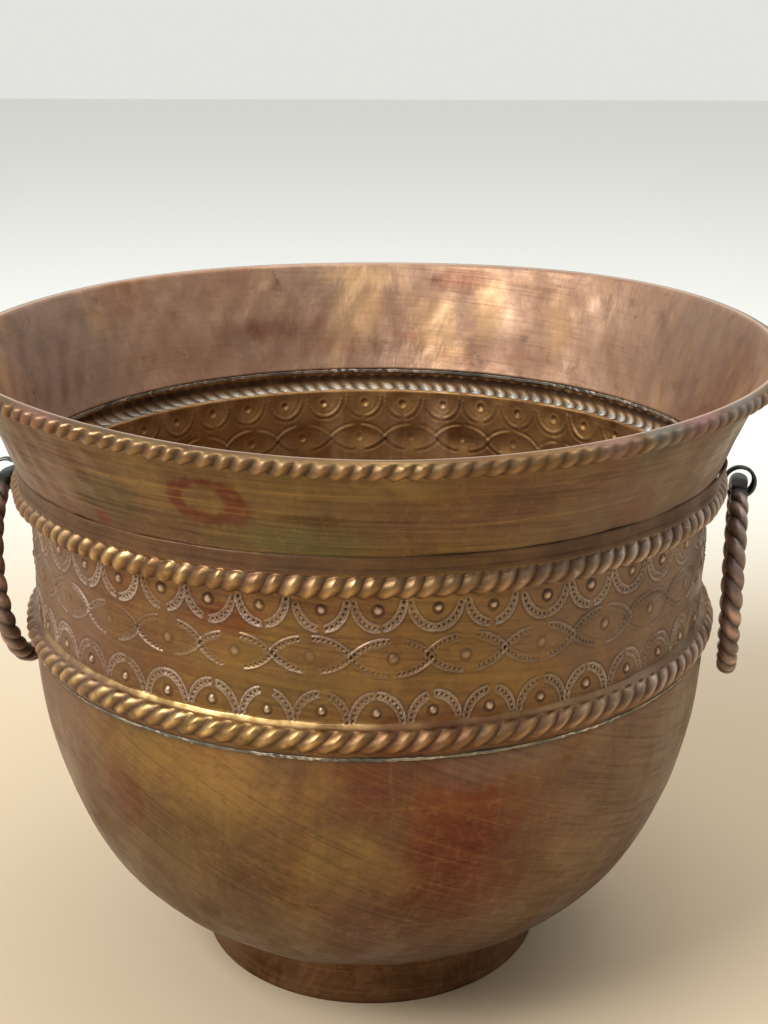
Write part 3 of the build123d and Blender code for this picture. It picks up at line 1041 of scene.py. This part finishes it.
def neck_metal():
    """Olive and brown with a red ring-shaped stain, rosy inside with painted golden highlights, and tinted on
    the rim.
    """
    rings = tints_of(((-0.048, -0.150, 0.2525), 0.0050, RED_STAIN, 0.85, (1, 1, 1.35), 0.0115))
    tints = tints_of(
        ((-0.016, -0.150, 0.238), 0.030, MOSS, 0.75, LEVEL),
        ((-0.085, -0.128, 0.245), 0.024, MOSS, 0.5, LEVEL),
        ((0.030, -0.150, 0.246), 0.030, BROWN, 0.6, LEVEL),
        ((0.107, -0.110, 0.242), 0.011, COPPER, 0.8, TALL),
        ((0.098, -0.115, 0.238), 0.009, COPPER, 0.8, TALL),
        ((0.072, -0.141, 0.255), 0.030, BROWN, 0.7, LEVEL),
        ((-0.016, -0.154, 0.248), 0.008, UMBER, 0.6, (0.4, 1, 2.6)),
        ((-0.096, -0.125, 0.253), 0.005, UMBER, 0.7),
        ((-0.095, -0.121, 0.243), 0.006, UMBER, 0.7, LEVEL),
        ((-0.089, -0.122, 0.237), 0.005, COPPER, 0.8),
        ((0.105, -0.129, 0.270), 0.018, VERDIGRIS, 0.45),
        ((0.117, -0.124, 0.274), 0.014, VERDIGRIS, 0.45),
    )
    rim_stains = tints_of(
        ((0.107, -0.134, 0.276), 0.014, GREY_GREEN, 0.60),
        ((0.122, -0.122, 0.276), 0.014, DULL_PINK, 0.75),
        ((0.090, -0.148, 0.276), 0.014, DULL_ROSE, 0.6),
        ((0.140, -0.102, 0.277), 0.016, PEWTER, 0.6),
        ((-0.110, -0.134, 0.277), 0.017, SALMON, 0.45),
    )
    # inside: the golden patches are painted highlights
    inside_tints = tints_of(
        ((-0.0135, 0.169, 0.274), 0.016, GOLDEN_HIGHLIGHT, 0.9, LEVEL),
        ((-0.012, 0.158, 0.258), 0.020, GOLDEN_HIGHLIGHT, 0.75, WIDE_DROP),
        ((0.029, 0.152, 0.249), 0.018, GOLDEN_HIGHLIGHT, 0.65, WIDE_DROP),
        ((0.055, 0.150, 0.260), 0.018, GOLDEN_HIGHLIGHT, 0.75, DROP),
        ((0.090, 0.130, 0.256), 0.016, GOLDEN_HIGHLIGHT, 0.6, DROP),
        ((-0.063, 0.142, 0.250), 0.022, COPPER, 0.6, LEVEL),
        ((0.0445, 0.163, 0.273), 0.016, COPPER, 0.6, LEVEL),
        ((-0.148, 0.057, 0.257), 0.060, MAUVE, 0.55),
        ((0.148, 0.057, 0.257), 0.050, MAUVE, 0.35),
    )
    places = dict(tints=tints, rings=rings, inside_tints=inside_tints, rim_stains=rim_stains)
    look = dict(patch=12.0, red=0.35, gold=0.25, dark=0.8, lean=-3, strokes=0.4)
    return aged_brass("NeckMetal", (OLIVE, BROWN), ROSY, **places, **look)


def forged_iron():
    """Twisted bar: brown, rubbed paler on the lobes, black where it is flattened."""
    s = Shader("HandleIron")
    cloud = s.noise(90.0, 5, 0.65, 0.3)
    colour = s.mix(s.ramp(cloud, 0.35, 0.65), IRON_BROWN, IRON_PALE)
    colour = s.mix(s.times(s.worn, s.ramp(s.noise(60.0, 3), 0.4, 0.65)), colour, IRON_RUBBED)
    colour = s.mix(s.times(s.groove, 0.9), colour, IRON_GRIME)
    colour = s.mix(s.times(s.pale, 0.96), colour, SOOT)
    rough = s.ramp(s.noise(140.0, 3), 0.3, 0.7, 0.36, 0.58)
    pitting = s.math("ADD", s.noise(420.0, 4, 0.7), s.times(s.noise(110.0, 3), 1.2))
    return s.finish(colour, 0.75, rough, s.bump(pitting, 0.00025, 0.8))


def black_strip():
    """The eyes: near-black strip with greyer clouds."""
    s = Shader("EyeStrip")
    cloud = s.noise(160.0, 4, 0.6)
    colour = s.mix(s.ramp(cloud, 0.35, 0.7), (0.030, 0.034, 0.031), (0.15, 0.16, 0.145))
    rough = s.ramp(s.noise(200.0, 3), 0.3, 0.7, 0.30, 0.52)
    return s.finish(colour, 0.8, rough, s.bump(s.noise(500.0, 4, 0.7), 0.0002, 0.7))


def old_solder():
    """Dull grey solder with chalky flecks."""
    s = Shader("Solder")
    flecks = s.ramp(s.noise(330.0, 3, 0.7), 0.50, 0.60)
    colour = s.mix(s.ramp(s.noise(60.0, 4), 0.4, 0.6), (0.12, 0.13, 0.11), (0.38, 0.34, 0.26))
    colour = s.mix(s.times(flecks, s.ramp(s.noise(25.0, 2), 0.38, 0.55)), colour, CHALK)
    rough = s.ramp(flecks, 0, 1, 0.45, 0.8)
    return s.finish(colour, 0.4, rough, s.bump(s.noise(500.0, 4, 0.7), 0.0003, 0.8))


def dull_steel():
    """The hidden wire: grey steel with a little rust."""
    s = Shader("WireSteel")
    colour = s.mix(s.ramp(s.noise(120.0, 4), 0.4, 0.65), (0.12, 0.11, 0.10), (0.10, 0.05, 0.03))
    rough = s.ramp(s.noise(200.0, 3), 0.3, 0.7, 0.4, 0.7)
    return s.finish(colour, 0.85, rough, s.bump(s.noise(400.0, 4), 0.0002, 0.7))


# ---- build
def build_pot():
    """The four sheets and the wire in the rim. The neck is bent and the bowl has a round floor."""
    for name, node, slot, metal, middle, *shape in (
        ("Bowl", "bowl", "bowl_brass", bowl_metal, bowl_middle, BOWL_COLUMNS, bowl_relief, False, True),
        ("FootRing", "foot_ring", "foot_brass", foot_metal, foot_middle, FOOT_COLUMNS, foot_relief),
        ("DecoratedBand", "decorated_band", "band_brass", band_metal, band_middle, BAND_COLUMNS, band_relief),
        ("Neck", "flared_neck", "neck_brass", neck_metal, neck_middle, NECK_COLUMNS, neck_relief, True),
    ):
        stand_for(shell(name, middle(), *shape), "pot", node, metal())
    stand_for(hidden_wire(), "pot", "rim_wire", dull_steel())


def build_solder():
    """The three solder lines, each in the corner between two sheets: section, columns, lumps and seed."""
    solder = old_solder()
    for seam, *shape in (
        ("Lower", ((146.75, 155.35), (147.9, 155.35), (146.75, 153.6)), 1800, 0.16, 31),
        ("Neck", ((147.0, 228.5), (148.0, 228.45), (147.7, 226.9)), 1400, 0.14, 32),
        ("Foot", ((73.55, 21.4), (71.95, 21.35), (73.55, 19.8)), 700, 0.14, 33),
    ):
        fillet = solder_fillet(seam + "SeamSolder", *shape)
        stand_for(fillet, "pot", seam.lower() + "_seam_solder", solder)


def build_handles():
    """The eyes and the rings as they hang: the right one turned, the left one leaning to the pot."""
    iron, strip = forged_iron(), black_strip()
    for side, body, turn, lean in ((1, "ring_right", -10.0, 0.0), (-1, "ring_left", 0.0, 6.0)):
        end = "right" if side > 0 else "left"
        eye = strip_eye("HandleEye" + end.capitalize(), side)
        stand_for(eye, "pot", "handle_eye_" + end, strip)
        ring = ring_handle("RingHandle" + end.capitalize(), side, turn, lean)
        stand_for(ring, body, "handle_" + end, iron)


def pale_floor():
    """A plain floor, warm near the camera and paler behind the pot."""
    mesh = bpy.data.meshes.new("Floor")
    half = 6.0
    corners = [(-half, -half, 0), (half, -half, 0), (half, half, 0), (-half, half, 0)]
    mesh.from_pydata(corners, [], [(0, 1, 2, 3)])
    floor = in_scene("Floor", mesh)
    s = Shader("FloorPaint")
    near_tone = s.mix(s.noise(3.0, 2), (0.60, 0.47, 0.31), (0.65, 0.52, 0.35))
    depth = s.node("ShaderNodeSeparateXYZ", (s.position,)).outputs["Y"]
    tone = s.mix(s.ramp(depth, 0.15, 0.9), near_tone, (0.95, 0.96, 0.90))
    floor.data.materials.append(s.finish(tone, 0.0, 0.65))


def area_light(name, place, size, power, tone):
    """A soft light turned to the middle of the pot."""
    data = bpy.data.lights.new(name, "AREA")
    data.shape = "RECTANGLE"
    data.size, data.size_y = size
    data.energy = power
    data.color = tone
    light = in_scene(name, data)
    light.location = place
    light.rotation_euler = (Vector((0, 0, 0.2)) - Vector(place)).to_track_quat("-Z", "Y").to_euler()


def pale_room():
    """The world: grey-white, paler overhead, and dimmer on the camera's side except where it is seen."""
    world = bpy.data.worlds.new("PaleRoom")
    bpy.context.scene.world = world
    room = Nodes(world)
    way = room.node("ShaderNodeTexCoord").outputs["Generated"]
    split = room.node("ShaderNodeSeparateXYZ", (way,)).outputs
    spread = room.node("ShaderNodeMapRange", (split["Z"], -1, 1)).outputs[0]
    ramp = room.node("ShaderNodeValToRGB", (spread,))
    horizon, overhead = ramp.color_ramp.elements
    horizon.position, horizon.color = 0.50, (0.76, 0.77, 0.73, 1)
    overhead.position, overhead.color = 0.75, (0.86, 0.87, 0.86, 1)
    dimmed = room.node("ShaderNodeMapRange", (split["Y"], -0.7, 0.4, 0.40, 1.0)).outputs[0]
    seen = room.node("ShaderNodeLightPath").outputs["Is Camera Ray"]
    background = room.tree.nodes["Background"].inputs
    room.put(background["Color"], ramp.outputs[0])
    room.put(background["Strength"], room.math("MAXIMUM", dimmed, seen))


def studio_light():
    pale_room()
    area_light("WindowLight", (-1.15, -1.0, 1.6), (1.0, 0.8), 42, (0.98, 0.99, 1.0))
    area_light("CeilingLight", (0.5, 0.2, 2.4), (1.6, 1.6), 20, (1.0, 0.98, 0.96))


def photo_camera():
    """Above the rim and in front, looking down on the pot."""
    data = bpy.data.cameras.new("Camera")
    data.lens = 54.07
    data.sensor_width = 36.0
    data.clip_start = 0.01
    camera = in_scene("Camera", data)
    camera.location = (0.03244, -0.64036, 0.41442)
    heading, pitch = math.radians(92.35), 0.3242
    level = math.cos(pitch)
    ahead = Vector((level * math.cos(heading), level * math.sin(heading), -math.sin(pitch)))
    camera.rotation_euler = ahead.to_track_quat("-Z", "Y").to_euler()
    bpy.context.scene.camera = camera


build_pot()
build_solder()
build_handles()
pale_floor()
studio_light()
photo_camera()
bpy.context.scene.view_settings.view_transform = "Standard"
